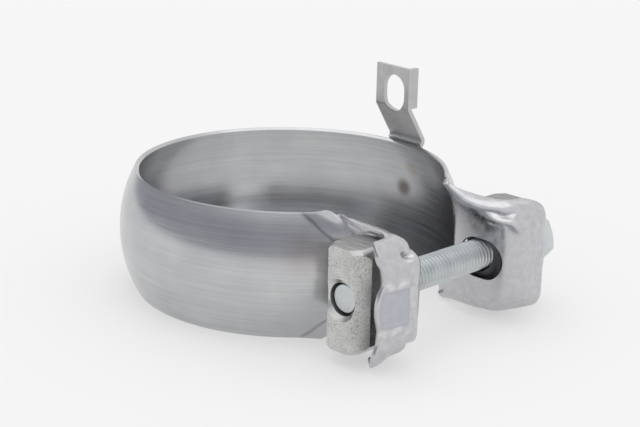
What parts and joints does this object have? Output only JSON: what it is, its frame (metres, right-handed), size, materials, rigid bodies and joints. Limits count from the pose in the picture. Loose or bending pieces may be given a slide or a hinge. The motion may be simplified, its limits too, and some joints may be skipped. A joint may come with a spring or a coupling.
{
  "type": "exhaust pipe clamp",
  "caption": "Barrel-shaped sheet steel band with pocket ears, drawn together by a flanged bolt through D-section blocks, with a slotted locating tab.",
  "frame": {"origin": "centre of the band's ring, half way up it", "axes": "+Z along the ring's axis towards the tab, +X from the ring's centre to the bolt, +Y along the bolt towards its head"},
  "size_m": [0.1347, 0.1143, 0.0681],
  "materials": {
    "band_steel": "satin, drawn stainless sheet",
    "block_steel": "tumbled and pitted, plated steel with sawn ends",
    "zinc_plated_steel": "pale zinc plating",
    "tab_steel": "satin stainless sheet"
  },
  "bodies": {
    "band": {"band": "band_steel", "locating_tab": "tab_steel", "far_block": "block_steel"},
    "bolt": {"bolt": "zinc_plated_steel"},
    "near_block": {"near_block": "block_steel"}
  },
  "joints": [
    {"name": "block_travel", "type": "slide", "parent": "band", "child": "near_block", "axis": [0, -1, 0], "range_m": [0, 0.0075]},
    {"name": "bolt_spin", "type": "hinge", "parent": "band", "child": "bolt", "pos_m": [0.0616, 0, 0], "axis": [0, 1, 0], "range_deg": [0, 1801]}
  ],
  "couplings": [
    {"joint": "bolt_spin", "follows": "block_travel", "rad_per_m": 4188.8}
  ]
}
